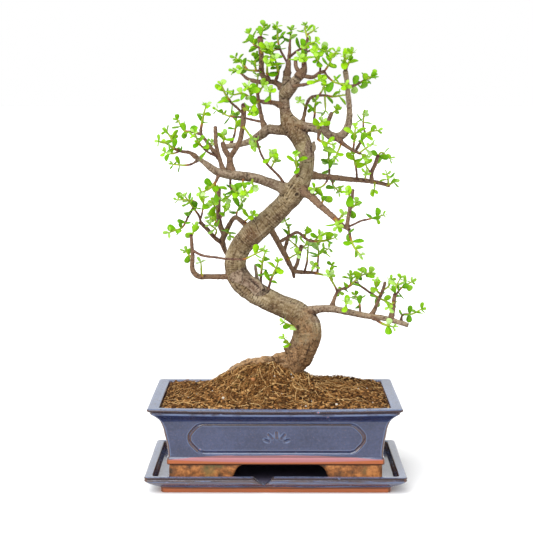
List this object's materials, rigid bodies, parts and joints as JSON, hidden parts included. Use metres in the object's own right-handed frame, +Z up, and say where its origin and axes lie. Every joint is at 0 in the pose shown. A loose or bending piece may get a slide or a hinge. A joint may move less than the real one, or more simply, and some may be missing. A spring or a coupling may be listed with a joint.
{
  "type": "potted dwarf jade bonsai",
  "caption": "Dwarf jade bonsai with an S-curved trunk and leafy branches, in a soil-filled rectangular glazed pot on a matching drip tray.",
  "frame": {"origin": "middle of the drip tray's flat underside, where the object stands", "axes": "+Z up along the tree, X along the pot's long side, -Y towards the front with the panel and the tray's notch"},
  "size_m": [0.2803, 0.2006, 0.4654],
  "materials": {
    "glaze": "gloss",
    "plastic": "matte",
    "soil": "matte",
    "bark": "matte",
    "leaf": "satin"
  },
  "bodies": {
    "root": {"drip_tray": "glaze", "pot": "glaze", "drain_screen_left": "plastic", "drain_screen_right": "plastic", "soil": "soil", "trunk_and_limbs": "bark", "branch_leader": "leaf", "branch_fork": "leaf", "branch_right_low": "leaf", "branch_right_middle": "leaf", "branch_bend_inner": "leaf", "branch_bend_stub": "leaf", "branch_bend_top": "leaf", "branch_bend_side": "leaf", "branch_bend_spur": "leaf", "branch_bend_tuft": "leaf", "branch_bend_low": "leaf", "branch_right_long": "leaf", "branch_right_falling": "leaf", "branch_inner": "leaf", "branch_crotch_right": "leaf", "branch_crotch_left": "leaf", "branch_low_left": "leaf", "branch_arch": "leaf", "branch_two_under": "leaf", "branch_two_under_middle": "leaf", "branch_two_under_inner": "leaf", "branch_two_under_tuft": "leaf", "branch_two_end": "leaf", "branch_two_end_low": "leaf", "branch_two_upright": "leaf", "branch_two_fork": "leaf", "branch_one_end": "leaf", "branch_one_upright": "leaf", "branch_one_tuft": "leaf", "branch_leader_left": "leaf", "branch_leader_flat": "leaf", "branch_front_thin": "leaf", "branch_trunk_front": "leaf", "branch_low_upright": "leaf", "branch_low_middle": "leaf", "branch_low_tuft": "leaf", "branch_low_stub": "leaf", "branch_low_end": "leaf", "branch_low_tip": "leaf", "branch_low_under": "leaf", "shoot_base_high": "leaf", "shoot_base_low": "leaf"}
  },
  "joints": []
}
